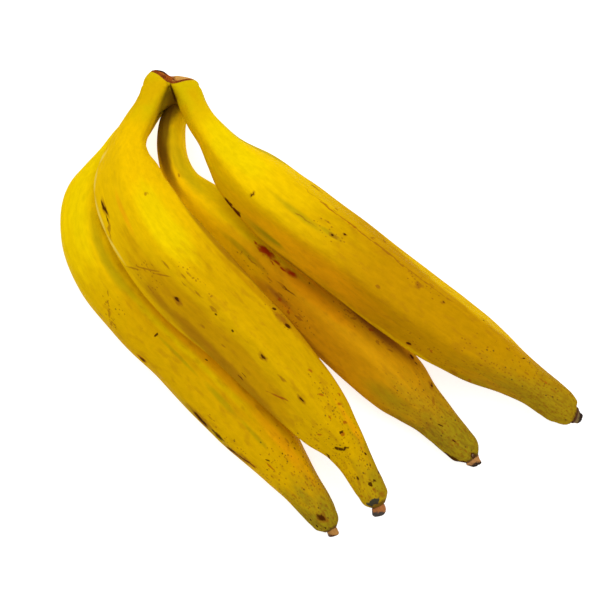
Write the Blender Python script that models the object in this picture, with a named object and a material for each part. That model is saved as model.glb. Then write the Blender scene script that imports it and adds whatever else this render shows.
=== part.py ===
"""A hand of four ripe plantains joined at one crown, lying on a table."""
import math
import bmesh
import bpy
import numpy as np
from mathutils import Vector

MM = 0.001

# General sizes
GAP = 0.3 * MM                    # clear space between neighbouring pieces
SIDES = 28                        # faces round a fruit
STATIONS = 34                     # rings along a fruit
EVEN_SPACING = 0.72               # share of the ring spacing that is even; the rest crowds to both ends
PEEL_EDGE = 10.0                  # how crisp the long edges of a fruit are
NECK_EDGE = 6.0                   # and those of a neck
SQUARE_EDGE = 5.0                 # and those of the crown and of a neck that leaves it
SMOOTH_ANGLE = 50.0               # edges turning less than this are shaded smooth, degrees

# Crown: a short cushion, cut off at a slant
CROWN_MIDDLE = (-131.8, 31.3, 31.2)    # middle of the face that the necks leave from, mm
CROWN_TURN = -45.6                     # direction the necks leave in, degrees round the vertical
CROWN_FACETS = 36
CROWN_WIDTH = 29.4 * MM
CROWN_HEIGHT = 36.0 * MM
CROWN_TOP_LENGTH = 3.8 * MM            # from the necks to the cut, along the top
CROWN_SLANT = 18.0                     # degrees the cut leans back
CROWN_SKEW = 9.0                       # degrees the cut turns to one side
CUT_HOLLOW = 0.8 * MM                  # how far the cut face dries inwards

# Fruits: points of the centre line with the thickness there, all in mm: along, across, up, thickness.
# Every centre line starts where the neck leaves the crown and ends under the dried flower end.
OUTER_LEFT_LINE = (
    (-137.1, 26.1, 22.0, 14.4), (-134.8, 20.6, 22.2, 12.4), (-133.2, 11.0, 22.6, 14.4),
    (-131.0, -3.6, 22.8, 18.2), (-126.9, -15.7, 22.6, 24.4), (-122.7, -27.7, 22.0, 32.3),
    (-117.7, -39.5, 21.2, 39.1), (-104.7, -52.2, 20.4, 43.0), (-84.5, -60.5, 20.1, 43.6),
    (-58.1, -63.8, 19.8, 43.0), (-25.0, -64.3, 19.3, 41.6), (8.0, -65.5, 18.8, 40.2),
    (30.0, -66.6, 18.1, 37.8), (47.0, -67.5, 17.0, 33.3), (60.0, -69.1, 15.8, 27.8),
    (72.0, -70.6, 14.8, 22.5), (84.0, -72.4, 14.2, 19.4), (92.0, -73.9, 14.0, 16.6),
    (97.0, -75.0, 14.0, 13.3), (99.4, -75.7, 14.0, 8.0))
FRONT_LEFT_LINE = (
    (-137.1, 26.1, 39.8, 14.4), (-134.9, 20.8, 40.6, 14.2), (-132.4, 14.8, 42.0, 14.2),
    (-129.0, 5.0, 44.6, 15.8), (-124.5, -5.5, 47.8, 19.0), (-118.5, -13.0, 50.8, 26.0),
    (-111.0, -19.0, 53.2, 35.0), (-101.0, -25.5, 55.4, 40.0), (-88.0, -30.2, 57.2, 43.5),
    (-68.0, -34.6, 58.6, 47.6), (-46.0, -36.3, 58.8, 49.2), (-22.0, -36.2, 58.2, 46.2),
    (2.0, -36.0, 56.4, 43.6), (24.0, -36.6, 53.4, 41.0), (42.0, -37.4, 49.4, 37.6),
    (59.0, -38.8, 44.4, 32.0), (71.0, -39.5, 40.2, 24.4), (82.0, -41.3, 36.0, 19.9),
    (92.0, -43.9, 33.0, 18.0), (100.0, -46.0, 31.0, 16.6), (106.0, -48.0, 30.0, 13.8),
    (108.4, -48.7, 29.6, 8.6))
MIDDLE_LINE = (
    (-126.5, 36.5, 22.0, 14.4), (-123.8, 28.9, 22.1, 13.0), (-120.6, 21.2, 22.0, 14.6),
    (-113.6, 12.6, 21.6, 16.2), (-105.0, 6.1, 21.0, 17.2), (-92.5, 1.2, 20.2, 20.0),
    (-78.0, 0.7, 19.4, 26.8), (-62.0, 1.9, 19.0, 34.4), (-34.0, 3.2, 18.9, 39.6), (-2.0, 3.8, 18.9, 40.6),
    (28.0, 5.0, 18.9, 40.4), (50.0, 6.0, 18.7, 39.8), (64.0, 6.3, 18.2, 38.4), (74.0, 6.4, 17.4, 35.5),
    (82.0, 6.6, 16.4, 30.6), (92.0, 7.1, 15.0, 25.6), (104.0, 6.9, 13.8, 21.8), (115.0, 6.7, 13.2, 19.6),
    (123.0, 6.5, 13.0, 16.2), (127.0, 5.9, 13.0, 9.0))
RIGHT_LINE = (
    (-126.5, 36.5, 39.8, 14.4), (-121.2, 35.3, 41.0, 14.8), (-115.2, 32.9, 42.6, 15.4),
    (-106.0, 29.8, 44.8, 16.2), (-94.0, 27.8, 46.8, 18.8), (-83.0, 25.9, 48.8, 24.8),
    (-72.0, 25.1, 50.6, 33.0), (-60.0, 25.4, 52.0, 38.6), (-40.0, 26.2, 53.4, 42.6),
    (-14.0, 29.3, 53.9, 44.2), (10.0, 32.7, 52.8, 44.2), (36.0, 36.3, 49.6, 43.4), (56.0, 40.1, 46.0, 42.8),
    (72.0, 43.5, 42.2, 41.4), (86.0, 46.9, 38.4, 38.5), (98.0, 50.0, 35.0, 33.4), (111.0, 53.0, 31.4, 27.2),
    (124.0, 56.1, 28.4, 22.2), (134.0, 57.8, 26.4, 21.4), (142.5, 58.9, 25.0, 19.4),
    (147.6, 59.6, 24.4, 13.8), (149.2, 60.3, 24.2, 9.4))

# Long flat sides of each fruit: the direction each one faces, degrees round the fruit with 90 straight up,
# and its distance from the middle for a fruit of half thickness one
OUTER_LEFT_SIDES = ((10.0, 1.0), (72.0, 0.95), (120.0, 0.97), (172.0, 1.0), (228.0, 1.0), (280.0, 0.94))
FRONT_LEFT_SIDES = ((345.0, 1.0), (52.0, 0.94), (140.0, 0.92), (226.0, 0.96), (288.0, 1.0))
MIDDLE_SIDES = ((4.0, 1.0), (55.0, 0.96), (135.0, 0.95), (205.0, 1.0), (274.0, 0.94))
RIGHT_SIDES = ((24.0, 0.98), (78.0, 0.94), (150.0, 0.92), (226.0, 0.97), (300.0, 1.0))

# Dried flower ends: thickness at the fruit, length, and thickness of the knob, mm
OUTER_LEFT_END = (7.0, 5.6, 5.0)
FRONT_LEFT_END = (7.6, 5.2, 6.4)
MIDDLE_END = (8.0, 4.6, 5.4)
RIGHT_END = (8.8, 4.6, 5.2)

# Rounded shapes, as flat sides: direction each one faces and its distance
SQUARE = ((0.0, 1.0), (90.0, 1.0), (180.0, 1.0), (270.0, 1.0))
NECK_SIDES = ((10.0, 1.0), (85.0, 1.0), (150.0, 1.0), (215.0, 1.0), (285.0, 1.0))
NECK_START_HEIGHT = 1.13          # height over width where a neck leaves the crown
BODY_HEIGHT = 0.955               # height over width of the rest of a fruit

# Where a fruit changes its section, as parts of its length
NECK_ROUND = 0.05                 # the neck has lost the shape of the crown
BODY_FROM, BODY_FULL = 0.06, 0.24    # the neck's soft edges turn into the long flat sides
TIP_FROM, TIP_ROUND = 0.86, 0.98     # the flat sides fade out at the tip

# Crown from the necks to the cut: part of the way back, part of the full size, part of the hollow
CROWN_PLAN = ((0.0, 0.985, 0.0), (0.06, 1.0, 0.0), (0.5, 0.96, 0.0), (0.92, 0.88, 0.0), (1.0, 0.84, 0.0),
              (1.0, 0.70, 0.4), (1.0, 0.40, 1.0))
# Flower end from the fruit to its tip: part of the length, then how much it follows the base and the knob
FLOWER_PLAN = ((0.0, 0.94, 0.0), (0.08, 1.0, 0.0), (0.3, 0.9, 0.0), (0.55, 0.0, 1.0), (0.8, 0.0, 1.02),
               (0.94, 0.0, 0.8), (1.0, 0.0, 0.42))
FLOWER_FACETS = 14
FLOWER_FLATNESS = 0.92            # height over width of a flower end

PEEL = (0.86, 0.63, 0.02, 1.0)
CROWN_COLOUR = (0.30, 0.19, 0.06, 1.0)
DRIED = (0.16, 0.09, 0.035, 1.0)

FRUITS = (
    ("outer_left", OUTER_LEFT_LINE, OUTER_LEFT_SIDES, OUTER_LEFT_END),
    ("front_left", FRONT_LEFT_LINE, FRONT_LEFT_SIDES, FRONT_LEFT_END),
    ("middle", MIDDLE_LINE, MIDDLE_SIDES, MIDDLE_END),
    ("right", RIGHT_LINE, RIGHT_SIDES, RIGHT_END))


def material(name, colour, roughness):
    made = bpy.data.materials.new(name)
    made.use_nodes = True
    surface = made.node_tree.nodes["Principled BSDF"]
    surface.inputs["Base Color"].default_value = colour
    surface.inputs["Roughness"].default_value = roughness
    surface.inputs["Metallic"].default_value = 0.0
    return made


def unit(vector):
    return vector / np.linalg.norm(vector)


def smooth_line(rows, fractions):
    """A smooth line through the given rows, read off at fractions of its length."""
    points = np.array(rows, float)
    steps = np.linalg.norm(np.diff(points[:, :3], axis=0), axis=1)
    place = np.concatenate([[0.0], np.cumsum(steps)])
    slopes = np.diff(points, axis=0) / steps[:, None]
    tangents = np.empty_like(points)
    tangents[0] = slopes[0]
    tangents[-1] = slopes[-1]
    before = steps[:-1, None]
    after = steps[1:, None]
    tangents[1:-1] = (slopes[:-1] * after + slopes[1:] * before) / (before + after)
    wanted = np.asarray(fractions) * place[-1]
    index = np.clip(np.searchsorted(place, wanted, side="right") - 1, 0, len(steps) - 1)
    length = steps[index][:, None]
    part = ((wanted - place[index]) / steps[index])[:, None]
    start = (1 + 2 * part) * (1 - part) ** 2 * points[index]
    leave = part * (1 - part) ** 2 * length * tangents[index]
    finish = part ** 2 * (3 - 2 * part) * points[index + 1]
    arrive = part ** 2 * (part - 1) * length * tangents[index + 1]
    return (start + leave + finish + arrive) * MM


def outline(sides, sharpness, angles):
    """Distance from the middle to the skin of a rounded many-sided shape."""
    total = np.zeros_like(angles)
    for facing, distance in sides:
        toward = np.maximum(0.0, np.cos(angles - math.radians(facing))) / distance
        total += toward ** sharpness
    return total ** (-1.0 / sharpness)


def boxed(radius, angles, width, height):
    """The shape as points across and up, fitted to a width and a height."""
    across = radius * np.cos(angles)
    up = radius * np.sin(angles)
    across = (across - (across.max() + across.min()) / 2) * width / (across.max() - across.min())
    up = (up - (up.max() + up.min()) / 2) * height / (up.max() - up.min())
    return across, up


def fade(value, low, high):
    part = min(1.0, max(0.0, (value - low) / (high - low)))
    return part * part * (3 - 2 * part)


def loft(name, rings, look, parent):
    """A closed solid: a loop of edges for each ring, bridged one to the next, with a face over each end."""
    shape = bmesh.new()
    loops = []
    for ring in rings:
        made = bmesh.ops.create_circle(shape, cap_ends=False, segments=len(ring), radius=1.0)["verts"]
        loops.append(list({edge for vertex in made for edge in vertex.link_edges}))
        for vertex, place in zip(made, ring):
            vertex.co = Vector(place)
    for first, second in zip(loops[:-1], loops[1:]):
        bmesh.ops.bridge_loops(shape, edges=first + second)
    for end in (loops[0], loops[-1]):
        bmesh.ops.contextual_create(shape, geom=end)
    bmesh.ops.recalc_face_normals(shape, faces=shape.faces)
    mesh = bpy.data.meshes.new(name)
    shape.to_mesh(mesh)
    shape.free()
    mesh.materials.append(look)
    mesh.shade_smooth()
    mesh.set_sharp_from_angle(angle=math.radians(SMOOTH_ANGLE))
    made = bpy.data.objects.new(name, mesh)
    made.parent = parent
    bpy.context.scene.collection.objects.link(made)
    return made


def crown_rings():
    """The cushion between the necks, on the plane y = 0, and the slanting cut behind them."""
    angles = np.linspace(0, 2 * math.pi, CROWN_FACETS, endpoint=False)
    radius = outline(SQUARE, SQUARE_EDGE, angles)
    slope = math.tan(math.radians(CROWN_SLANT))
    skew = math.tan(math.radians(CROWN_SKEW))
    rings = []
    for depth, size, hollow in CROWN_PLAN:
        across, up = boxed(radius, angles, CROWN_WIDTH * size, CROWN_HEIGHT * size)
        length = CROWN_TOP_LENGTH + (CROWN_HEIGHT / 2 - up) * slope - across * skew
        back = length * depth - CUT_HOLLOW * hollow
        rings.append(np.stack([across, back, up], axis=1))
    return rings


def fruit_rings(line, sides, forward):
    """One fruit: a squared start at the crown, a round neck, a body with long flat sides, a round tip."""
    even = np.linspace(0.0, 1.0, STATIONS)
    fractions = EVEN_SPACING * even + (1 - EVEN_SPACING) * (0.5 - 0.5 * np.cos(math.pi * even))
    stations = smooth_line(line, fractions)
    centres = stations[:, :3]
    tangents = np.gradient(centres, axis=0)
    upright = np.array([0.0, 0.0, 1.0])
    angles = np.linspace(0, 2 * math.pi, SIDES, endpoint=False)
    square = outline(SQUARE, SQUARE_EDGE, angles)
    neck = outline(NECK_SIDES, NECK_EDGE, angles)
    body = outline(sides, PEEL_EDGE, angles)
    rings = []
    for number, fraction in enumerate(fractions):
        leaving = fade(fraction, 0.0, NECK_ROUND)
        along = unit((1 - leaving) * forward + leaving * unit(tangents[number]))
        side = unit(np.cross(upright, along))
        top = np.cross(along, side)
        grown = fade(fraction, BODY_FROM, BODY_FULL) * (1 - fade(fraction, TIP_FROM, TIP_ROUND))
        radius = (1 - leaving) * square + leaving * ((1 - grown) * neck + grown * body)
        thick = stations[number, 3]
        tall = thick * ((1 - leaving) * NECK_START_HEIGHT + leaving * BODY_HEIGHT)
        across, up = boxed(radius, angles, thick, tall)
        middle = centres[number] + (forward * GAP if number == 0 else 0.0)
        ring = middle + np.outer(across, side) + np.outer(up, top)
        ring[:, 2] = np.maximum(ring[:, 2], 0.0)
        rings.append(ring)
    return rings, centres[-1], unit(tangents[-1])


def flower_end_rings(base, length, knob):
    """The dried remains of the flower at a fruit's tip, pointing along +Z."""
    angles = np.linspace(0, 2 * math.pi, FLOWER_FACETS, endpoint=False)
    rings = []
    for depth, of_base, of_knob in FLOWER_PLAN:
        radius = (base * of_base + knob * of_knob) / 2
        rings.append(np.stack([np.cos(angles) * radius, np.sin(angles) * radius * FLOWER_FLATNESS,
                               np.full_like(angles, length * depth)], axis=1) * MM)
    return rings


for old in list(bpy.data.objects):
    bpy.data.objects.remove(old, do_unlink=True)

peel = material("peel", PEEL, 0.42)
crown_skin = material("crown", CROWN_COLOUR, 0.75)
dried = material("dried_flower", DRIED, 0.85)

hand = bpy.data.objects.new("hand", None)
bpy.context.scene.collection.objects.link(hand)

turn = math.radians(CROWN_TURN)
forward = np.array([math.cos(turn), math.sin(turn), 0.0])
crown = loft("crown", crown_rings(), crown_skin, hand)
crown.location = Vector(CROWN_MIDDLE) * MM
crown.rotation_euler = (0.0, 0.0, turn + math.pi / 2)

for label, line, sides, end in FRUITS:
    rings, tip, along = fruit_rings(line, sides, forward)
    loft("fruit_" + label, rings, peel, hand)
    flower_end = loft("flower_end_" + label, flower_end_rings(*end), dried, hand)
    flower_end.location = Vector(tip + along * GAP)
    flower_end.rotation_euler = Vector(along).to_track_quat("Z", "Y").to_euler()

# The origin goes under the middle of the whole hand, on the table
bpy.context.view_layer.update()
corners = [thing.matrix_world @ vertex.co for thing in hand.children for vertex in thing.data.vertices]
middle_x = (min(corner.x for corner in corners) + max(corner.x for corner in corners)) / 2
middle_y = (min(corner.y for corner in corners) + max(corner.y for corner in corners)) / 2
hand.location = (-middle_x, -middle_y, -min(corner.z for corner in corners))
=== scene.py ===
"""Looks of a hand of four ripe plantains: waxy yellow peel, a cut crown and dried flower ends."""
import math

import bmesh
import bpy
import numpy as np
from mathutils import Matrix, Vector


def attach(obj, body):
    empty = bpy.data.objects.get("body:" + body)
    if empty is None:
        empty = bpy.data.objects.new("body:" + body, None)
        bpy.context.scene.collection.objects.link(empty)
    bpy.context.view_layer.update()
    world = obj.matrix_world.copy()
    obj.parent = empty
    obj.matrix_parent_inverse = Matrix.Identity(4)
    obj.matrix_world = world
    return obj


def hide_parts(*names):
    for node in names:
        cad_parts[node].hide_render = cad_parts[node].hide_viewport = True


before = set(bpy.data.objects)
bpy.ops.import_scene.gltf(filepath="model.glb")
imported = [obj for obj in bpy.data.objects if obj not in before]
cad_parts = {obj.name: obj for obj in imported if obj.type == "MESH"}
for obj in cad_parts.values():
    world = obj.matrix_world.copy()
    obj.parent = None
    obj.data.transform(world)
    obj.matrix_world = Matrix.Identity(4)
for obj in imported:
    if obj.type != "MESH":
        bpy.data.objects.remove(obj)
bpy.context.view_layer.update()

MM = 0.001

# The lines below are in millimetres, measured from a point that lies here in the hand's own frame
HAND_MIDDLE = np.array([1.734, -8.539, 0.0])

# Crown: the face that the necks leave from, and the cut behind it
CROWN_MIDDLE = np.array([-131.8, 31.3, 31.2])
CROWN_TURN = math.radians(-45.6)       # direction the necks leave in
CUT_LENGTH = 6.3                       # from the necks to the cut, at the middle of its top rim
CUT_SLOPE = 0.285                      # how much the cut leans back toward the table
CUT_SKEW = 0.178                       # and to the left
CUT_DIP = 4.5                          # how far the rim dips between the two upper necks
CUT_STEP = 2.4                         # and the lower part of the cut drops to the right of the middle
CUT_TOP = 14.0                         # height of the top rim over the crown's middle
CUT_HOLLOW = 0.6                       # how far the cut face has dried inwards
LOBE_EDGE = 3.4                        # roundness of a lobe of the crown
LOBE_PINCH = 0.31                      # how much the crown draws in toward the cut on its right
LEFT_PINCH = 0.33                      # and on its left
PINCH_CURVE = 3.4                      # how late it draws in
LEFT_CURVE = 1.9
LEFT_BAND = (-4.0, 8.0)                # where the right half's shape gives way to the left's, to the left
RIGHT_SLOPE = 0.05                     # how much more the cut leans on its right
RIGHT_BAND = (-3.0, 3.0)
DIP_PLACE = 0.4                        # the dip's lowest place, to the right
DIP_LEFT = 5.5                         # and how far it reaches to each side
DIP_RIGHT = 8.0
STEP_BAND = (-5.5, -1.5)
CUT_RINGS = 16
CUT_CROWDING = 1.6                     # how much these rings crowd toward the cut
CUT_EDGE = (0.5, 1.1)                  # how far ahead of the cut its colour fades out
CUT_MIDDLE = (7.6, 10.0)               # half size of the middle, which belongs to no lobe alone
CUT_SLACK = 2.5                        # how far ahead the sunken middle of a lobe still counts as cut
CUT_INSIDE = (0.1, 0.4)                # where a lobe's middle begins, in parts of its half size
HOLLOW_WALL = (0.10, 0.42)
CUT_RIPPLE = 0.14
RIPPLE_WALL = (0.05, 0.2)
NECK_TUCK = 0.09                       # how far a neck's start is tucked inside the crown's skin
LOBE_REACH = 11.0                      # how far the crown's skin runs along a neck
LOBE_SWELL = 1.012                     # how much wider than the neck the skin is
LOBE_THINNING = 0.035                  # and how much narrower it has got at its end
LOBE_RINGS = range(2, 60, 3)           # the fruit's rings that the skin follows
CROWN_VOXEL = 0.42 * MM
SKIN_SOFTENING = 5
CORE_WIDTH = 21.0                      # the middle of the crown, where the lobes have grown together
CORE_HEIGHT = 26.0
# Web between the necks: ahead, slant to the right, shift right, shift up, half width, half height
CROWN_WEB = (
    (-1.0, 0.0, 0.0, 0.0, 7.0, 11.0), (3.0, -0.5, -0.6, 0.8, 7.6, 9.0), (5.4, -1.6, -1.4, 0.6, 8.0, 7.2),
    (7.2, -2.8, -2.4, 0.2, 8.0, 6.2), (8.9, -4.0, -3.4, -0.2, 7.6, 5.2),
    (10.8, -4.6, -4.8, -0.7, 6.8, 3.8), (12.6, -4.6, -6.6, -1.4, 4.8, 2.8))
WEB_LEAN = 0.42                        # how much the web falls to the right
WEB_EDGE = 3.0
WEB_SIDES = 48
WEB_SOFTENING = 36
WEB_STARTS = 1.5                       # the softened skin: how far ahead it starts,
WEB_MIDDLE = -1.5                      # where its middle is, to the right,
WEB_REACH = 8.5                        # and how far it reaches to each side

# Fruits: points of the centre line with the thickness there: along, across, up, thickness
OUTER_LEFT_LINE = (
    (-137.1, 26.1, 22.0, 14.4), (-134.8, 20.6, 22.2, 12.4), (-133.2, 11.0, 22.6, 14.4),
    (-131.0, -3.6, 22.8, 18.2), (-126.9, -15.7, 22.6, 24.4), (-122.7, -27.7, 22.0, 32.3),
    (-117.7, -39.5, 21.2, 39.1), (-104.7, -52.2, 20.4, 43.0), (-84.5, -60.5, 20.1, 43.6),
    (-58.1, -63.8, 19.8, 43.0), (-25.0, -64.3, 19.3, 41.6), (8.0, -65.5, 18.8, 40.2),
    (30.0, -66.6, 18.1, 37.8), (47.0, -67.5, 17.0, 33.3), (60.0, -69.1, 15.8, 27.8),
    (72.0, -70.6, 14.8, 22.5), (84.0, -72.4, 14.2, 19.4), (92.0, -73.9, 14.0, 16.6),
    (97.0, -75.0, 14.0, 13.3), (99.4, -75.7, 14.0, 8.0))
FRONT_LEFT_LINE = (
    (-137.1, 26.1, 39.8, 14.4), (-134.9, 20.8, 40.6, 14.2), (-132.4, 14.8, 42.0, 14.2),
    (-129.0, 5.0, 44.6, 15.8), (-124.5, -5.5, 47.8, 19.0), (-118.7, -13.3, 50.8, 26.6),
    (-111.4, -19.6, 53.2, 36.2), (-101.4, -26.1, 55.4, 41.2), (-88.2, -30.5, 57.2, 44.1),
    (-68.0, -34.6, 58.6, 47.6), (-46.0, -36.3, 58.8, 49.2), (-22.0, -36.2, 58.2, 46.2),
    (2.0, -36.0, 56.4, 43.6), (24.0, -36.6, 53.4, 41.0), (42.0, -37.4, 49.4, 37.6),
    (59.0, -38.8, 44.4, 32.0), (71.0, -39.5, 40.2, 24.4), (82.0, -41.3, 36.0, 19.9),
    (92.0, -43.9, 33.0, 18.0), (100.0, -46.0, 31.0, 16.6), (106.0, -48.0, 30.0, 13.8),
    (108.4, -48.7, 29.6, 8.6))
MIDDLE_LINE = (
    (-126.5, 36.5, 22.0, 14.4), (-124.2, 28.8, 22.1, 13.8), (-120.8, 21.1, 22.0, 15.0),
    (-113.6, 12.6, 21.6, 16.2), (-105.0, 6.1, 21.0, 17.2), (-92.5, 1.2, 20.2, 20.0),
    (-78.0, 0.7, 19.4, 26.8), (-62.0, 1.9, 19.0, 34.4), (-34.0, 3.2, 18.9, 39.6), (-2.0, 3.8, 18.9, 40.6),
    (28.0, 5.0, 18.9, 40.4), (50.0, 6.0, 18.7, 39.8), (64.0, 6.3, 18.2, 38.4), (74.0, 6.4, 17.4, 35.5),
    (82.0, 6.6, 16.4, 30.6), (92.0, 7.1, 15.0, 25.6), (104.0, 6.9, 13.8, 21.8), (115.0, 6.7, 13.2, 19.6),
    (123.0, 6.5, 13.0, 16.2), (127.0, 5.9, 13.0, 9.0))
RIGHT_LINE = (
    (-126.0, 37.0, 39.8, 15.8), (-120.9, 35.6, 41.0, 15.6), (-115.2, 32.9, 42.6, 15.5),
    (-106.0, 29.8, 44.8, 16.2), (-94.0, 27.8, 46.8, 18.8), (-83.0, 25.9, 48.8, 24.8),
    (-72.0, 25.1, 50.6, 33.0), (-60.0, 25.4, 52.0, 38.6), (-40.0, 26.2, 53.4, 42.6),
    (-14.0, 29.3, 53.9, 44.2), (10.0, 32.7, 52.8, 44.2), (36.0, 36.3, 49.6, 43.4), (56.0, 40.1, 46.0, 42.8),
    (72.0, 43.5, 42.2, 41.4), (86.0, 46.9, 38.4, 38.5), (98.0, 50.0, 35.0, 33.4), (111.0, 53.0, 31.4, 27.2),
    (124.0, 56.1, 28.4, 22.2), (134.0, 57.8, 26.4, 21.4), (142.5, 58.9, 25.0, 19.4),
    (147.6, 59.6, 24.4, 13.8), (149.2, 60.3, 24.2, 9.4))

# Long flat sides: which way each faces, in degrees round the fruit with 90 straight up, and its distance
OUTER_LEFT_SIDES = ((10.0, 1.0), (72.0, 0.95), (120.0, 0.97), (172.0, 1.0), (228.0, 1.0), (280.0, 0.94))
FRONT_LEFT_SIDES = ((345.0, 1.0), (52.0, 0.94), (140.0, 0.92), (226.0, 0.96), (288.0, 1.0))
MIDDLE_SIDES = ((4.0, 1.0), (55.0, 0.96), (135.0, 0.95), (205.0, 1.0), (274.0, 0.94))
RIGHT_SIDES = ((24.0, 0.98), (78.0, 0.94), (150.0, 0.92), (226.0, 0.97), (300.0, 1.0))
SQUARE = ((0.0, 1.0), (90.0, 1.0), (180.0, 1.0), (270.0, 1.0))
NECK_SIDES = ((10.0, 1.0), (85.0, 1.0), (150.0, 1.0), (215.0, 1.0), (285.0, 1.0))
NECK_START_HEIGHT = 1.13               # height over width where a neck leaves the crown
BODY_HEIGHT = 0.955                    # and of the rest of a fruit
SQUARE_EDGE = 5.0                      # how crisp the edges are: at the crown
NECK_EDGE = 6.0                        # along a neck
BODY_EDGE = 9.5                        # and along a fruit
SOFT_EDGE = 6.0                        # but the middle fruit is rounder
STATIONS = 280                         # rings along a fruit
SIDES = 120                            # points round it
SCAR_DEPTH = 0.16                      # how far a scar is sunk into the peel
SLIM = 0.994                           # keeps the skin just inside the solid fruit
EVEN_RINGS = 0.80                      # how evenly the rings are spaced, the rest crowd at both ends
NECK_STARTS = (0.0, 0.05)              # parts of a fruit's length: where its neck takes its own shape,
BODY_GROWS = (0.06, 0.24)              # where the neck widens into the body,
BODY_ENDS = (0.86, 0.98)               # where the body turns into the tip,
TIP_CLOSES = (0.955, 1.0)              # and where the tip is gathered
LUMP_DEPTH = 0.32                      # how deep the peel's slow lumps are
CREASE_DEPTH = 0.09                    # its fine creases
PUCKER_DEPTH = 0.20                    # and the folds of the tip
PUCKERS = 10                           # folds round the tip
END_FOLDS = ((0.22, 0.94), (0.32, 0.86), (0.22, 0.77), (-0.2, 0.68), (-0.9, 0.6), (-1.6, 0.5), (-1.8, 0.3))
MOST_SUNK = 2.0
OFF_THE_TABLE = 0.02
SCAR_MARGIN = 0.5                      # a scar's relief is this much wider than its colour
SCAR_WALL = (0.5, 1.3)                 # where its wall starts and stops, in parts of its size
SCARS_STOP = -2.0                      # height in the fruit below which there are none
MARK_LEAN = 0.1                        # marks are placed as seen from above, from this much to one side
SEAM_REACH = 0.0005 * MM               # points closer than this are joined

# Dried flower ends
FLOWER_RINGS = 34
FLOWER_SIDES = 64
KNOB_LUMPS = 0.05
KNOB_WRINKLES = 0.035
KNOB_SLANT = 0.35                      # how much further one side of the end reaches
KNOB_TURN = 0.6
KNOB_ROUGHNESS = 0.16

FRUITS = (
    ("outer_left", OUTER_LEFT_LINE, OUTER_LEFT_SIDES, BODY_EDGE, 3),
    ("front_left", FRONT_LEFT_LINE, FRONT_LEFT_SIDES, BODY_EDGE, 5),
    ("middle", MIDDLE_LINE, MIDDLE_SIDES, SOFT_EDGE, 8),
    ("right", RIGHT_LINE, RIGHT_SIDES, BODY_EDGE, 11))


# Curves and sections
def unit(vector):
    return vector / np.linalg.norm(vector)


def smooth_line(rows, fractions):
    """A smooth line through the given rows, read off at fractions of its length."""
    points = np.array(rows, float)
    steps = np.linalg.norm(np.diff(points[:, :3], axis=0), axis=1)
    place = np.concatenate([[0.0], np.cumsum(steps)])
    slopes = np.diff(points, axis=0) / steps[:, None]
    tangents = np.empty_like(points)
    tangents[0] = slopes[0]
    tangents[-1] = slopes[-1]
    before = steps[:-1, None]
    after = steps[1:, None]
    tangents[1:-1] = (slopes[:-1] * after + slopes[1:] * before) / (before + after)
    wanted = np.asarray(fractions) * place[-1]
    index = np.clip(np.searchsorted(place, wanted, side="right") - 1, 0, len(steps) - 1)
    length = steps[index][:, None]
    part = ((wanted - place[index]) / steps[index])[:, None]
    start = (1 + 2 * part) * (1 - part) ** 2 * points[index]
    leave = part * (1 - part) ** 2 * length * tangents[index]
    finish = part ** 2 * (3 - 2 * part) * points[index + 1]
    arrive = part ** 2 * (part - 1) * length * tangents[index + 1]
    return start + leave + finish + arrive


def outline(sides, sharpness, angles):
    """Distance from the middle to the skin of a rounded many-sided shape."""
    total = np.zeros_like(angles)
    for facing, distance in sides:
        toward = np.maximum(0.0, np.cos(angles - math.radians(facing))) / distance
        total += toward ** sharpness
    return total ** (-1.0 / sharpness)


def boxed(radius, angles, width, height):
    """The shape as points across and up, fitted to a width and a height."""
    across = radius * np.cos(angles)
    up = radius * np.sin(angles)
    across = (across - (across.max() + across.min()) / 2) * width / (across.max() - across.min())
    up = (up - (up.max() + up.min()) / 2) * height / (up.max() - up.min())
    return across, up


def fade(value, low, high):
    part = np.clip((value - low) / (high - low), 0.0, 1.0)
    return part * part * (3 - 2 * part)


def waves(seed, count, shortest, longest, turns):
    """A few slow waves along and round a fruit, from -1 to 1, always the same for the same seed."""
    pick = np.random.default_rng(seed)
    lengths = pick.uniform(shortest, longest, count)
    rounds = pick.integers(turns[0], turns[1], count)
    phases = pick.uniform(0, 2 * math.pi, (count, 2))

    def height(along, angles):
        total = np.zeros_like(angles)
        for length, turn, phase in zip(lengths, rounds, phases):
            total += np.sin(2 * math.pi * along / length + phase[0]) * np.cos(turn * angles + phase[1])
        return total / count ** 0.5
    return height


# Meshes
def loft(shape, rings, marks=None):
    """A closed skin through rings of points: a grid rolled up, joined along its seam and capped.

    Marks are kept with the points in the layer named grain."""
    grain = shape.verts.layers.float_vector.get("grain")
    count = len(rings[0])
    made = bmesh.ops.create_grid(shape, x_segments=count, y_segments=len(rings) - 1, size=1.0)["verts"]
    for number, point in enumerate(made):
        row, column = divmod(number, count + 1)
        point.co = Vector(rings[row][column % count])
        if marks:
            point[grain] = Vector(marks[row][column % count])
    bmesh.ops.remove_doubles(shape, verts=made, dist=SEAM_REACH)
    rims = [edge for edge in shape.edges if edge.is_boundary]
    bmesh.ops.holes_fill(shape, edges=rims, sides=count)


def mesh_of(shape, name):
    bmesh.ops.recalc_face_normals(shape, faces=shape.faces)
    mesh = bpy.data.meshes.new(name)
    shape.to_mesh(mesh)
    shape.free()
    return mesh


def piece(mesh, look, node):
    """Makes the finished piece that stands for a node of the part."""
    mesh.materials.clear()
    mesh.materials.append(look)
    mesh.shade_smooth()
    made = bpy.data.objects.new(mesh.name, mesh)
    bpy.context.scene.collection.objects.link(made)
    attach(made, "root")
    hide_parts(node)
    return made


NECKS_LEAVE = np.array([math.cos(CROWN_TURN), math.sin(CROWN_TURN), 0.0])
CROWN_SIDE = np.array([-math.sin(CROWN_TURN), math.cos(CROWN_TURN), 0.0])
UPRIGHT = np.array([0.0, 0.0, 1.0])


def in_hand(places):
    """From the lines' millimetres to metres in the hand's own frame."""
    return (places - HAND_MIDDLE) * MM


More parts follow.
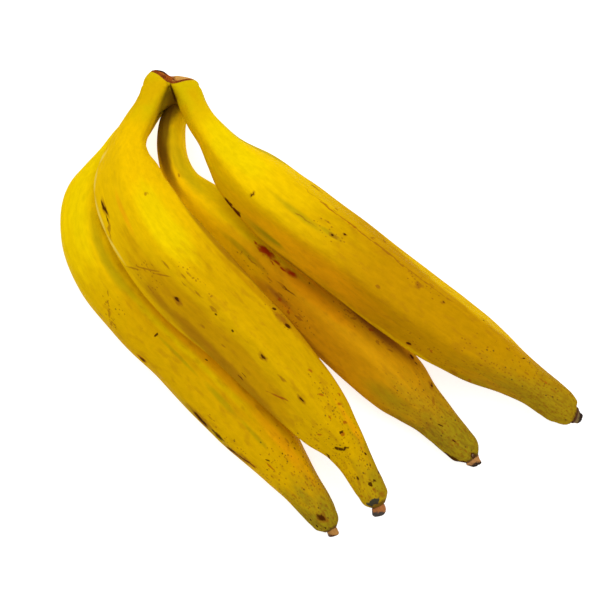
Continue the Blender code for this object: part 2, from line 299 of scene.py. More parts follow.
def fruit_rings(line, sides, edge, seed):
    """Rings of one fruit, each with its points' places in the straightened fruit: along, across and up."""
    even = np.linspace(0.0, 1.0, STATIONS)
    fractions = EVEN_RINGS * even + (1 - EVEN_RINGS) * (0.5 - 0.5 * np.cos(math.pi * even))
    stations = smooth_line(line, fractions)
    centres = stations[:, :3]
    tangents = np.gradient(centres, axis=0)
    travelled = np.concatenate([[0.0], np.cumsum(np.linalg.norm(np.diff(centres, axis=0), axis=1))])
    angles = np.linspace(0, 2 * math.pi, SIDES, endpoint=False)
    square = outline(SQUARE, SQUARE_EDGE, angles)
    neck = outline(NECK_SIDES, NECK_EDGE, angles)
    body = outline(sides, edge, angles)
    lumps = waves(seed, 10, 30.0, 110.0, (0, 4))
    creases = waves(seed + 50, 14, 18.0, 60.0, (5, 15))
    rings = []
    straight = []
    for number, fraction in enumerate(fractions):
        leaving = fade(fraction, *NECK_STARTS)
        along = unit((1 - leaving) * NECKS_LEAVE + leaving * unit(tangents[number]))
        side = unit(np.cross(UPRIGHT, along))
        top = np.cross(along, side)
        grown = fade(fraction, *BODY_GROWS) * (1 - fade(fraction, *BODY_ENDS))
        radius = (1 - leaving) * square + leaving * ((1 - grown) * neck + grown * body)
        thick = stations[number, 3]
        tall = thick * ((1 - leaving) * NECK_START_HEIGHT + leaving * BODY_HEIGHT)
        across, up = boxed(radius, angles, thick, tall)
        here = travelled[number]
        end = fade(fraction, *TIP_CLOSES)
        inward = LUMP_DEPTH * (1.0 + lumps(here, angles)) * (0.25 + 0.75 * grown) * leaving
        inward += CREASE_DEPTH * (1.0 + creases(here, angles)) * leaving
        inward += PUCKER_DEPTH * (1.0 + np.cos(PUCKERS * angles + seed)) * end
        scale = SLIM - np.clip(inward, 0.0, MOST_SUNK) / (thick / 2)
        across = across * scale
        up = up * scale
        places = centres[number] + np.outer(across, side) + np.outer(up, top)
        places[:, 2] = np.maximum(places[:, 2], OFF_THE_TABLE)
        rings.append(places)
        falling = -tangents[number][2] / np.hypot(tangents[number][0], tangents[number][1])
        straight.append(np.stack([here + up * falling, across, up], axis=1))
    # The end closes in folds round the sunken base of the dried flower
    last = rings[-1]
    flat = straight[-1]
    for ahead, size in END_FOLDS:
        rings.append(centres[-1] + (last - centres[-1]) * size + along * ahead)
        straight.append(flat * np.array([1.0, size, size]) + np.array([ahead, 0.0, 0.0]))
    return rings, straight, centres[-1], along, side, top


def scar_depth(straight, marks):
    """How far a ring's points are sunk by the scars, in millimetres."""
    seen_along = straight[:, 0] - MARK_LEAN * straight[:, 2]
    seen_across = straight[:, 1] + MARK_LEAN * straight[:, 2]
    depth = np.zeros(len(straight))
    for along, offset, length, width, turn in marks:
        turned = math.radians(turn)
        ahead = (seen_along - along) * math.cos(turned) + (seen_across - offset) * math.sin(turned)
        aside = (seen_across - offset) * math.cos(turned) - (seen_along - along) * math.sin(turned)
        away = np.hypot(ahead / (length / 2 + SCAR_MARGIN), aside / (width / 2 + SCAR_MARGIN))
        depth = np.maximum(depth, SCAR_DEPTH * (1.0 - fade(away, *SCAR_WALL)))
    return depth * (straight[:, 2] > SCARS_STOP)


def fruit(label, skin, look):
    """One fruit in its peel. Gives back the frame of its tip, for the flower end."""
    rings, straight, tip, along, side, top = skin
    rings = list(rings)
    marks = LOOKS[label]["scar"] + LOOKS[label].get("slate", ())
    for number in range(STATIONS):
        middle = rings[number].mean(axis=0)
        inside = NECK_TUCK * (1.0 - fade(straight[number][0][0], 0.0, LOBE_REACH - 1.0))
        sink = scar_depth(straight[number], marks) / np.linalg.norm(rings[number] - middle, axis=1)
        rings[number] = middle + (rings[number] - middle) * (1.0 - inside - sink)[:, None]
    shape = bmesh.new()
    shape.verts.layers.float_vector.new("grain")
    loft(shape, [in_hand(places) for places in rings], straight)
    piece(mesh_of(shape, "peel_" + label), look, "fruit_" + label)
    return tip, along, side, top


def flower_end(label, rows, seed, look, tip, along, side, top):
    """The dried remains of a flower, from rows of: ahead, shift across, width, height."""
    rows = np.array(rows, float)
    steps = np.linspace(0.0, 1.0, FLOWER_RINGS)
    spread = [np.interp(steps, np.linspace(0, 1, len(rows)), rows[:, column]) for column in range(4)]
    angles = np.linspace(0, 2 * math.pi, FLOWER_SIDES, endpoint=False)
    wrinkles = waves(seed, 9, 2.5, 9.0, (3, 12))
    lumps = waves(seed + 9, 6, 3.0, 12.0, (1, 4))
    shape = bmesh.new()
    shape.verts.layers.float_vector.new("grain")
    rings = []
    marks = []
    for step, ahead, shift, width, height in zip(steps, *spread):
        size = 1.0 + KNOB_LUMPS * lumps(ahead, angles) + KNOB_WRINKLES * wrinkles(ahead, angles)
        across = shift + np.cos(angles) * size * width / 2
        up = np.sin(angles) * size * height / 2
        uneven = KNOB_SLANT * np.cos(angles - KNOB_TURN) + KNOB_ROUGHNESS * lumps(0.0, angles)
        push = ahead + uneven * fade(step, 0.4, 0.9)
        rings.append(in_hand(tip + np.outer(across, side) + np.outer(up, top) + np.outer(push, along)))
        level = np.full(FLOWER_SIDES, ahead)
        part = np.full(FLOWER_SIDES, step)
        marks.append(np.stack([level, across - shift, part], axis=1))
    loft(shape, rings, marks)
    piece(mesh_of(shape, "dried_flower_" + label), look, "flower_end_" + label)


def cut_depth(across, up):
    """How far behind the necks the crown was cut off."""
    high = fade(up, -CUT_TOP, CUT_TOP)
    reach = np.where(across > DIP_PLACE, DIP_RIGHT, DIP_LEFT)
    dip = CUT_DIP * np.exp(-((across - DIP_PLACE) / reach) ** 2) * high
    step = CUT_STEP * fade(across, *STEP_BAND) * (1 - high)
    slope = CUT_SLOPE + RIGHT_SLOPE * fade(across, *RIGHT_BAND)
    return CUT_LENGTH + (CUT_TOP - up) * slope - across * CUT_SKEW - dip - step


def pinched(across, up, part):
    """A place on the crown's section, drawn in by its part of the way from the necks to the cut."""
    left = fade(-across, *LEFT_BAND)
    drawn = part ** PINCH_CURVE
    sideways = 1.0 - (1.0 - left) * LOBE_PINCH * drawn - left * LEFT_PINCH * part ** LEFT_CURVE
    return across * sideways, up * (1.0 - drawn * LOBE_PINCH)


def lobe_section(line):
    """The outline of a lobe where its neck leaves the crown: to the right and up."""
    start = np.array(line[0][:3]) - CROWN_MIDDLE
    angles = np.linspace(0, 2 * math.pi, SIDES, endpoint=False)
    wide = line[0][3]
    across, up = boxed(outline(SQUARE, LOBE_EDGE, angles), angles, wide, wide * NECK_START_HEIGHT)
    return across + start @ CROWN_SIDE, up + start[2]


def crown_places(across, ahead, up):
    """Places given from the crown's middle: to the right, the way the necks leave, and up."""
    return CROWN_MIDDLE + np.outer(across, CROWN_SIDE) + np.outer(ahead, NECKS_LEAVE) + np.outer(up, UPRIGHT)


def cut_rings(across, up):
    """Rings of a section from the cut to the face that the necks leave from."""
    rings = []
    for part in 1.0 - np.linspace(0.0, 1.0, CUT_RINGS) ** CUT_CROWDING:
        right, high = pinched(across, up, part)
        rings.append(crown_places(right, -cut_depth(right, high) * part, high))
    return rings


def rounded_loft(shape, rows, sharpness, lean):
    """A body from rows of: ahead, slant, shift across, shift up, half width, half height."""
    angles = np.linspace(0, 2 * math.pi, WEB_SIDES, endpoint=False)
    across, up = boxed(outline(SQUARE, sharpness, angles), angles, 2.0, 2.0)
    loft(shape, [in_hand(crown_places(shift + across * wide, ahead + across * slant,
                                      rise + up * tall - across * wide * lean))
                 for ahead, slant, shift, rise, wide, tall in rows])


def crown(look, skins):
    """Four lobes that run out along the necks, grown together behind them and cut off."""
    shape = bmesh.new()
    for label, line, sides, edge, seed in FRUITS:
        neck, straight = skins[label][:2]
        reach = [number for number in LOBE_RINGS if straight[number][0][0] < LOBE_REACH]
        across, up = lobe_section(line)
        rings = cut_rings(across, up)
        for number in reach:
            middle = neck[number].mean(axis=0)
            swell = LOBE_SWELL - LOBE_THINNING * fade(straight[number][0][0], 0.0, LOBE_REACH)
            rings.append(middle + (neck[number] - middle) * swell)
        loft(shape, [in_hand(places) for places in rings])
    angles = np.linspace(0, 2 * math.pi, SIDES, endpoint=False)
    across, up = boxed(outline(SQUARE, LOBE_EDGE, angles), angles, CORE_WIDTH, CORE_HEIGHT)
    loft(shape, [in_hand(places) for places in cut_rings(across, up)])
    rounded_loft(shape, CROWN_WEB, WEB_EDGE, WEB_LEAN)
    rough = bpy.data.objects.new("crown_rough", mesh_of(shape, "crown_rough"))
    bpy.context.scene.collection.objects.link(rough)
    remesh = rough.modifiers.new("join", "REMESH")
    remesh.mode = "VOXEL"
    remesh.voxel_size = CROWN_VOXEL
    smooth = rough.modifiers.new("soften", "SMOOTH")
    smooth.factor = 0.5
    smooth.iterations = SKIN_SOFTENING
    depsgraph = bpy.context.evaluated_depsgraph_get()
    mesh = bpy.data.meshes.new_from_object(rough.evaluated_get(depsgraph))
    mesh.name = "crown_cushion"
    bpy.data.objects.remove(rough, do_unlink=True)
    soften_web(mesh)
    carve_cut(mesh)
    piece(mesh, look, "crown")


def soften_web(mesh):
    """Rounds the hollows between the necks, where the skin runs smoothly from one to the other."""
    shape = bmesh.new()
    shape.from_mesh(mesh)
    chosen = []
    for point in shape.verts:
        local = np.array(point.co) / MM + HAND_MIDDLE - CROWN_MIDDLE
        if local @ NECKS_LEAVE > WEB_STARTS and abs(local @ CROWN_SIDE - WEB_MIDDLE) < WEB_REACH:
            chosen.append(point)
    for turn in range(WEB_SOFTENING):
        bmesh.ops.smooth_vert(shape, verts=chosen, factor=0.5,
                              use_axis_x=True, use_axis_y=True, use_axis_z=True)
    shape.to_mesh(mesh)
    shape.free()


def carve_cut(mesh):
    """Sinks the middle of the cut and keeps how far each point is from the cut and from its rim."""
    count = len(mesh.vertices)
    places = np.empty(count * 3)
    mesh.vertices.foreach_get("co", places)
    places = places.reshape(-1, 3)
    local = places / MM + HAND_MIDDLE - CROWN_MIDDLE
    across = local @ CROWN_SIDE
    ahead = local @ NECKS_LEAVE
    up = local[:, 2]
    behind = cut_depth(across, up) + ahead
    inside = np.full(count, -1.0)
    for label, line, sides, edge, seed in FRUITS:
        section, high = lobe_section(line)
        right, rise = pinched(section, high, 1.0)
        half = (right.max() - right.min()) / 2
        tall = (rise.max() - rise.min()) / 2
        reach = (np.abs(across - right.max() + half) / half) ** LOBE_EDGE
        reach += (np.abs(up - rise.max() + tall) / tall) ** LOBE_EDGE
        inside = np.maximum(inside, 1.0 - reach ** (1 / LOBE_EDGE))
    middle = 1.0 - np.maximum(np.abs(across) / CUT_MIDDLE[0], np.abs(up) / CUT_MIDDLE[1])
    inside = np.maximum(inside, middle)
    on_cut = 1.0 - fade(behind - CUT_SLACK * fade(inside, *CUT_INSIDE), *CUT_EDGE)
    ripples = waves(21, 12, 1.8, 6.0, (1, 2))(across, up * 1.1)
    sink = CUT_HOLLOW * fade(inside, *HOLLOW_WALL) * on_cut
    sink += CUT_RIPPLE * ripples * on_cut * fade(inside, *RIPPLE_WALL)
    places += np.outer(sink * MM, NECKS_LEAVE)
    mesh.vertices.foreach_set("co", places.ravel())
    values = np.stack([on_cut, inside, behind], axis=1)
    kept = mesh.attributes.new("cut", "FLOAT_VECTOR", "POINT")
    kept.data.foreach_set("vector", values.ravel())
    mesh.update()


# Materials
class Value:
    """A socket that can be worked with like a number."""

    def __init__(self, finish, socket):
        self.finish = finish
        self.socket = socket

    def math(self, operation, first, second):
        return self.finish.node("ShaderNodeMath", {"operation": operation}, {0: first, 1: second})

    def __add__(self, other):
        return self.math("ADD", self, other)

    __radd__ = __add__

    def __sub__(self, other):
        return self.math("SUBTRACT", self, other)

    def __rsub__(self, other):
        return self.math("SUBTRACT", other, self)

    def __mul__(self, other):
        return self.math("MULTIPLY", self, other)

    __rmul__ = __mul__

    def least(self, other):
        return self.math("MINIMUM", self, other)

    def most(self, other):
        return self.math("MAXIMUM", self, other)


def paint(red, green, blue):
    """A colour from its usual 0 to 255 values."""
    return tuple(value / 255 / 12.92 if value <= 10 else ((value / 255 + 0.055) / 1.055) ** 2.4
                 for value in (red, green, blue)) + (1.0,)


class Finish:
    """A material and the nodes that make it."""

    def __init__(self, name, roughness, specular):
        self.material = bpy.data.materials.new(name)
        self.material.use_nodes = True
        self.nodes = self.material.node_tree.nodes
        self.links = self.material.node_tree.links
        self.surface = self.nodes["Principled BSDF"]
        self.surface.inputs["Roughness"].default_value = roughness
        self.surface.inputs["Specular IOR Level"].default_value = specular

    def set(self, socket, value):
        if isinstance(value, Value):
            self.links.new(value.socket, socket)
        else:
            socket.default_value = value

    def node(self, kind, settings, values, output=0):
        made = self.nodes.new(kind)
        for key, value in settings.items():
            setattr(made, key, value)
        for key, value in values.items():
            self.set(made.inputs[key], value)
        return Value(self, made.outputs[output])

    def attribute(self, name):
        return self.node("ShaderNodeAttribute", {"attribute_name": name}, {}, "Vector")

    def place(self):
        """Object coordinates in millimetres."""
        place = self.node("ShaderNodeTexCoord", {}, {}, "Object")
        return self.vector("MULTIPLY", place, (1000.0, 1000.0, 1000.0))

    def vector(self, operation, first, second):
        return self.node("ShaderNodeVectorMath", {"operation": operation}, {0: first, 1: second})

    def parts(self, vector):
        return [self.node("ShaderNodeSeparateXYZ", {}, {0: vector}, axis) for axis in "XYZ"]

    def joined(self, *parts):
        return self.node("ShaderNodeCombineXYZ", {}, dict(enumerate(parts)))

    def noise(self, where, size, detail=2.0):
        """Noise with blotches of about a size in millimetres, or with three sizes along the directions."""
        sizes = size if isinstance(size, tuple) else (size, size, size)
        scaled = self.vector("DIVIDE", where, sizes)
        return self.node("ShaderNodeTexNoise", {}, {"Vector": scaled, "Scale": 1.0, "Detail": detail}, "Fac")

    def ramp(self, value, low, high, bottom=0.0, top=1.0):
        return self.node("ShaderNodeMapRange", {"interpolation_type": "SMOOTHSTEP"},
                         {"Value": value, "From Min": low, "From Max": high, "To Min": bottom, "To Max": top})

    def blend(self, part, first, second):
        return self.node("ShaderNodeMix", {"data_type": "RGBA"}, {0: part, 6: first, 7: second}, 2)

    def shade(self, colour, amount):
        return self.node("ShaderNodeVectorMath", {"operation": "SCALE"}, {0: colour, "Scale": amount})

    def spots(self, where, size, density, biggest):
        """Round spots in some of the cells of a size in millimetres, up to a part of the cell in reach."""
        scaled = self.vector("DIVIDE", where, size)
        cells = self.nodes.new("ShaderNodeTexVoronoi")
        cells.inputs["Scale"].default_value = 1.0
        self.links.new(scaled.socket, cells.inputs["Vector"])
        chance = self.parts(Value(self, cells.outputs["Color"]))[0]
        reach = (chance + density - 1.0).most(0.0) * SPOT_GROWTH
        return self.ramp(reach.least(biggest) - Value(self, cells.outputs["Distance"]), 0.0, SPOT_EDGE)

    def nearest(self, where, marks):
        """How far a place (along, across, 1) is from the nearest mark: 0 at its middle and 1 at its edge."""
        found = None
        for along, offset, length, width, turn in marks:
            ahead = np.array([math.cos(math.radians(turn)), math.sin(math.radians(turn))]) * 2 / length
            aside = np.array([-math.sin(math.radians(turn)), math.cos(math.radians(turn))]) * 2 / width
            centre = np.array([along, offset])
            reach = [self.node("ShaderNodeVectorMath", {"operation": "DOT_PRODUCT"},
                               {0: where, 1: (line[0], line[1], -(line @ centre))}, "Value")
                     for line in (ahead, aside)]
            square = reach[0] * reach[0] + reach[1] * reach[1]
            found = found.least(square) if found else square
        return self.node("ShaderNodeMath", {"operation": "SQRT"}, {0: found})

    def bump(self, height, depth, strength=1.0):
        normal = self.node("ShaderNodeBump", {}, {"Strength": strength, "Distance": depth, "Height": height})
        self.set(self.surface.inputs["Normal"], normal)


def crown_view(finish, place):
    """Millimetres to the right of the crown's middle, behind it and above it."""
    from_middle = finish.vector("SUBTRACT", place, tuple(CROWN_MIDDLE - HAND_MIDDLE))
    return [finish.node("ShaderNodeVectorMath", {"operation": "DOT_PRODUCT"},
                        {0: from_middle, 1: tuple(axis)}, "Value")
            for axis in (CROWN_SIDE, -NECKS_LEAVE, UPRIGHT)]


def neck_colour(finish, place):
    """The colour that the necks and the crown share, with painted shade: olive brown on the web between the
    necks and dark in the seam where the two upper necks meet.
    """
    right, back, up = crown_view(finish, place)
    slow = finish.noise(place, 12.0, 2.0)
    colour = finish.blend(finish.ramp(slow, 0.35, 0.68), NECK_GOLD, NECK_GREEN)
    fine = finish.noise(place, 2.2, 3.0)
    colour = finish.shade(colour, finish.ramp(fine, 0.25, 0.75, 0.95, 1.03))
    flat = finish.joined(right, back, 1.0)
    # Painted shade on the web between the two upper necks, olive on its left and brown on its right
    web = finish.nearest(flat, WEB_SHADE) + (fine - 0.5) * 0.25
    web_shade_part = finish.ramp(web, 1.45, 0.7) * finish.ramp(up, 15.5, 9.0) * finish.ramp(up, -10.0, -4.0)
    web_shade_tone = finish.blend(finish.ramp(right, -5.0, 1.0), WEB_SHADE_OLIVE, WEB_SHADE_BROWN)
    colour = finish.blend(web_shade_part, colour, web_shade_tone)
    # Painted shade in the crease where the two upper necks meet
    seam = finish.nearest(flat, SEAM) + (fine - 0.5) * 0.5
    return finish.blend(finish.ramp(seam, 1.1, 0.4) * finish.ramp(up, -2.0, 2.0) * 0.8, colour, SEAM_SHADE_BROWN)


def peel(name, look):
    """Waxy peel with patches, freckles and scars, placed by millimetres along and across the fruit. Some of
    the patches are painted light and shade.
    """
    finish = Finish(name, 0.5, PEEL_SHEEN)
    grain = finish.attribute("grain")
    place = finish.place()
    along, across, up = finish.parts(grain)
    seen = finish.joined(along - up * MARK_LEAN, across + up * MARK_LEAN, 1.0)
    upper = finish.ramp(up, -5.0, -1.0)
    ragged = finish.noise(grain, RAGGED, 4.0) - 0.5
    cloudy = finish.noise(grain, CLOUDS, 3.0) - 0.5

    slow = finish.noise(grain, DRIFTS, 2.0)
    near, far = look["base"]
    riper = finish.ramp(along + cloudy * 30.0, look["riper"][0], look["riper"][1])
    colour = finish.blend(riper, paint(*near), paint(*far))
    colour = finish.blend(finish.ramp(slow, 0.38, 0.66) * 0.4, colour, finish.shade(colour, 0.9))
    # Painted shade: the lower side of each fruit is turned toward ochre
    below = finish.ramp(up, 4.0, -12.0)
    colour = finish.blend(below * 0.55, colour, OCHRE_SHADE)
    # Soft patches: some are the peel's own tints, others painted light and shade, as SOFT_PATCHES tells
    for group, tone, strength, inner, outer in SOFT_PATCHES:
        if group in look:
            distance = finish.nearest(seen, look[group]) + cloudy * 0.9
            colour = finish.blend(finish.ramp(distance, outer, inner, 0.0, strength) * upper, colour, tone)
    streaks = finish.noise(grain, STREAKS, 3.0)
    colour = finish.shade(colour, finish.ramp(streaks, 0.3, 0.72, 1.025, 0.955))
    mottle = finish.noise(grain, MOTTLE, 5.0)
    colour = finish.shade(colour, finish.ramp(mottle, 0.25, 0.75, 0.93, 1.045))
    smudges = finish.noise(grain, SMUDGES, 6.0)
    colour = finish.blend(finish.ramp(smudges, 0.52, 0.68) * riper * 0.34, colour, SMUDGE)

    # Olive toward the tip, in streaks and freckles
    length = look["length"]
    leaning = along + across * look["tip_lean"]
    tip = finish.ramp(leaning + cloudy * 40.0 + ragged * 14.0, length - look["tip"], length - 6.0)
    flecks = finish.noise(grain, FLECKS, 5.0)
    tone = finish.blend(finish.ramp(flecks, 0.32, 0.62), TIP_DARK, TIP_OLIVE)
    colour = finish.blend(tip * look["tip_strength"], colour, tone)
    neck = finish.ramp(along + cloudy * 10.0, *NECK_COLOUR_ENDS)
    colour = finish.blend(neck, colour, neck_colour(finish, place))
    # Painted shadow on the middle fruit's neck, down its left side and under the web
    if "neck_shade" in look:
        distance = finish.nearest(seen, look["neck_shade"]) + cloudy * 0.5
        colour = finish.blend(finish.ramp(distance, 1.25, 0.6, 0.0, 0.85) * upper, colour, NECK_SHADE)

    # Freckles crowd at the tip and in a few clusters
    clusters = finish.ramp(finish.nearest(seen, look["clusters"]) + cloudy * 0.8, 1.2, 0.5)
    toward_tip = finish.ramp(along, length - FRECKLED_TIP, length - 10.0)
    density = (clusters * 0.5).most(toward_tip * 0.75) + riper * 0.06 + 0.04
    freckles = finish.spots(grain, FRECKLE_CELLS, density, 0.36)
    colour = finish.blend(freckles * 0.6, colour, FRECKLE)
    specks = finish.spots(grain, SPECK_CELLS, density * 0.5, 0.22)
    colour = finish.blend(specks * 0.75, colour, SPECK)
    dashes = finish.spots(grain, DASH_CELLS, density * 0.55 + 0.03, 0.30)
    colour = finish.blend(dashes * 0.45, colour, BRUISE)

    marked = freckles * 0.25
    swaying = (finish.noise(grain, SWAYS, 2.0) - 0.5) * SWAY
    swayed = finish.joined(along - up * MARK_LEAN + swaying, across + up * MARK_LEAN + swaying * 0.8, 1.0)
    for group, tone, strength, inner, outer in CRISP_MARKS:
        if group in look:
            distance = finish.nearest(swayed, look[group]) + ragged * 1.2
            mask = finish.ramp(distance, outer, inner, 0.0, strength) * upper
            colour = finish.blend(mask, colour, tone)
            marked = marked.most(mask)
    end = finish.ramp(along + ragged * 2.0, length - 1.4, length + 0.1)
    colour = finish.blend(end * 0.75, colour, END_BROWN)

    finish.set(finish.surface.inputs["Base Color"], colour)
    wax = finish.noise(grain, WAX, 3.0)
    finish.set(finish.surface.inputs["Roughness"], finish.ramp(wax, 0.3, 0.7, 0.42, 0.58) + marked * 0.2)
    fibre = finish.noise(grain, FIBRES, 3.0)
    pores = finish.noise(grain, PORES, 2.0)
    height = fibre * FIBRE_HEIGHT + mottle * MOTTLE_HEIGHT + pores * PORE_HEIGHT
    finish.bump(height, MM)
    return finish.material


def crown_finish():
    """Skin like the necks', and a dried cut that is tan on its right and brown on its left."""
    finish = Finish("crown_skin_and_cut", 0.6, PEEL_SHEEN)
    place = finish.place()
    on_cut, _, behind = finish.parts(finish.attribute("cut"))
    colour = neck_colour(finish, place)
    ragged = finish.noise(place, 1.4, 4.0) - 0.5
    right, back, up = crown_view(finish, place)
    rim = finish.ramp(behind + ragged * 1.0, 1.3, 0.35)
    colour = finish.blend(rim * 0.75, colour, RIM_BROWN)
    fibres = finish.noise(finish.joined(right, back, up), (0.9, 4.0, 1.6), 4.0)
    cut_tone = finish.blend(finish.ramp(fibres, 0.32, 0.66), CUT_DARK, CUT_RED)
    wander = finish.noise(place, 5.0, 3.0) - 0.5
    border = wander * 9.0 + ragged * 3.0
    pale = finish.ramp(right + border, 0.5, 3.0) * finish.ramp(up + border, 13.0, 9.5)
    tan = finish.blend(finish.ramp(fibres, 0.3, 0.7), CUT_STRAW, CUT_TAN)
    cut_tone = finish.blend(pale * 0.9, cut_tone, tan)
    amber = finish.nearest(finish.joined(right, up, 1.0), CUT_AMBER) + ragged
    cut_tone = finish.blend(finish.ramp(amber + wander * 1.2, 1.2, 0.3) * 0.6, cut_tone, CUT_ORANGE)
    burnt = finish.ramp(up + ragged * 4.0, -5.0, -10.0) * finish.ramp(right + ragged * 2.0, -2.5, -5.0)
    cut_tone = finish.blend(burnt, cut_tone, CUT_BLACK)
    colour = finish.blend(finish.ramp(on_cut + ragged * 0.5, 0.35, 0.6), colour, cut_tone)
    finish.set(finish.surface.inputs["Base Color"], colour)
    finish.set(finish.surface.inputs["Roughness"], finish.ramp(on_cut, 0.2, 0.8, 0.5, 0.85))
    height = fibres * on_cut * CUT_FIBRE_HEIGHT + finish.noise(place, 1.2, 4.0) * CROWN_GRAIN_HEIGHT
    finish.bump(height, MM)
    return finish.material


def flower_finish(name, tones, cap_from, side_lean, ring_width):
    """Dry and wrinkled, with a ring at the fruit and a dark end."""
    pale, dark, ring = tones
    finish = Finish(name, 0.85, 0.15)
    grain = finish.attribute("grain")
    place = finish.place()
    ahead, across, part = finish.parts(grain)
    ragged = finish.noise(place, 0.9, 4.0) - 0.5
    fibres = finish.noise(grain, (3.5, 0.5, 0.5), 3.0)
    groove = tuple(value * 0.72 for value in pale[:3]) + (1.0,)
    colour = finish.blend(finish.ramp(fibres, 0.3, 0.7), pale, groove)
    reach = part + across * side_lean + ragged * 0.35
    colour = finish.blend(finish.ramp(reach, cap_from, cap_from + 0.14), colour, dark)
    base = finish.ramp(ahead + ragged * 1.2, ring_width, ring_width * 0.4)
    colour = finish.blend(base * 0.9, colour, ring)
    finish.set(finish.surface.inputs["Base Color"], colour)
    finish.set(finish.surface.inputs["Roughness"], finish.ramp(ragged, -0.2, 0.2, 0.75, 0.95))
    finish.bump(fibres * 0.22 + ragged * 0.3, MM)
    return finish.material


# Sheen, and the sizes of the peel's patterns in millimetres: along, across and up
PEEL_SHEEN = 0.0015
DRIFTS = (60.0, 16.0, 16.0)
CLOUDS = (16.0, 5.0, 5.0)
STREAKS = (18.0, 1.6, 1.6)
SMUDGES = (9.0, 4.0, 4.0)
MOTTLE = (4.5, 2.6, 2.6)
FLECKS = (4.0, 1.3, 1.3)
RAGGED = (3.5, 1.6, 1.6)
SWAYS = (5.0, 2.4, 2.4)
SWAY = 3.0                             # how far a mark's edge wanders
WAX = (14.0, 6.0, 6.0)
FIBRES = (9.0, 0.9, 0.9)
FIBRE_HEIGHT = 0.055
MOTTLE_HEIGHT = 0.09
PORES = (0.8, 0.6, 0.6)
PORE_HEIGHT = 0.025
FRECKLE_CELLS = (1.9, 1.3, 1.3)
SPECK_CELLS = (3.4, 2.4, 2.4)
DASH_CELLS = (9.0, 2.4, 2.4)
SPOT_GROWTH = 2.2                      # how fast a spot grows with the crowding there
SPOT_EDGE = 0.10
NECK_COLOUR_ENDS = (34.0, 9.0)         # where the necks' colour ends and where it is full
FRECKLED_TIP = 75.0                    # how far from the end freckles start to crowd
CUT_FIBRE_HEIGHT = 0.35
CROWN_GRAIN_HEIGHT = 0.08
WEB_SHADE = ((-1.4, -9.4, 10.6, 19.6, -16.0),)
SEAM = ((2.0, -3.9, 14.0, 1.5, -71.5),)
CUT_AMBER = ((-5.0, -3.0, 6.0, 9.0, 0.0),)

# Colours of the peel, then of the marks, the necks and the crown
# Lemon and gold are partly the peel's own yellow and partly painted light on flanks in shade and at steep
# edges
LEMON = paint(232, 200, 2)
GOLD = paint(226, 182, 2)
# Ochre stands in for shade, on the fruits' lower sides and on flanks that face down toward a neighbour
OCHRE_SHADE = paint(191, 140, 4)
ORANGE = paint(214, 142, 6)
OLIVE = paint(152, 138, 14)
GREEN = paint(152, 141, 8)
# Brown standing in for the shade in creases, contact shadows and on the middle neck
SHADE_BROWN = paint(140, 88, 12)
# Pale sheen: a painted highlight along a ridge, partly a pale waxy bloom
PALE_SHEEN = paint(236, 208, 90)
TIP_OLIVE = paint(150, 130, 20)
TIP_DARK = paint(124, 100, 20)
RING_PALE = paint(126, 98, 80)
NECK_GOLD = paint(213, 171, 3)
NECK_GREEN = paint(206, 178, 3)
# Dark brown standing in for shadow on the middle fruit's neck
NECK_SHADE = paint(86, 56, 10)
FRECKLE = paint(140, 84, 14)
SPECK = paint(70, 44, 22)
BRUISE = paint(140, 80, 16)
RED = paint(158, 34, 6)
RUST = paint(160, 72, 12)
SCAR = paint(60, 23, 4)
# Plum standing in for the shadow where the neighbours overhang the middle fruit
PLUM = paint(124, 66, 30)
SMUDGE = paint(168, 112, 14)
# Amber is partly the peel's own orange and partly painted light bounced into the creases
AMBER = paint(244, 162, 12)
WOUND = paint(86, 22, 4)
SLATE = paint(50, 51, 46)
END_BROWN = paint(78, 48, 24)
# Tones standing in for shade: in the seam between the upper necks and on the web
SEAM_SHADE_BROWN = paint(70, 40, 10)
WEB_SHADE_BROWN = paint(112, 84, 10)
WEB_SHADE_OLIVE = paint(146, 122, 10)
RIM_BROWN = paint(130, 84, 18)
CUT_RED = paint(160, 80, 22)
CUT_DARK = paint(92, 38, 14)
CUT_TAN = paint(214, 164, 84)
CUT_STRAW = paint(196, 144, 68)
CUT_BLACK = paint(42, 20, 12)
CUT_ORANGE = paint(186, 112, 34)

# Soft patches and crisp marks: which marks, their tone, how strong, and where they start and stop fading
SOFT_PATCHES = (
    # Partly the peel's own yellow; on the outer left, middle and right fruits also painted light where a
    # flank lies in shade or turns steeply away
    ("lemon", LEMON, 0.9, 0.5, 1.3),
    ("gold", GOLD, 0.8, 0.6, 1.3),
    # Painted shade on the front left fruit's lower left flank, which faces down toward its neighbour, and at
    # its right edge
    ("ochre_shade", OCHRE_SHADE, 0.85, 0.6, 1.2),
    ("orange", ORANGE, 0.75, 0.4, 1.25),
    # Painted light bounced into the creases on the outer left and middle fruits; orange streaks on the front
    # left one, a warm patch on the right one
    ("amber", AMBER, 0.5, 0.3, 1.4),
    ("olive", OLIVE, 0.5, 0.3, 1.3),
    ("green", GREEN, 0.55, 0.3, 1.3),
    # Painted shade in the creases and contact shadows between fruits, and on the middle neck
    ("brown", SHADE_BROWN, 0.6, 0.4, 1.25),
    # Painted shadow where the neighbours overhang the middle fruit
    ("plum", PLUM, 0.5, 0.3, 1.3),
    # Painted highlight along the front left fruit's left ridge, partly a pale waxy bloom
    ("pale", PALE_SHEEN, 0.7, 0.3, 1.2))
CRISP_MARKS = (
    ("bruise", BRUISE, 0.6, 0.45, 1.15),
    ("rust", RUST, 0.75, 0.4, 1.1),
    ("red", RED, 0.9, 0.3, 1.1),
    ("wound", WOUND, 0.95, 0.6, 1.15),
    ("scar", SCAR, 0.92, 0.6, 1.15),
    ("slate", SLATE, 0.95, 0.75, 1.1),
    ("ring", RING_PALE, 0.9, 0.5, 1.2))

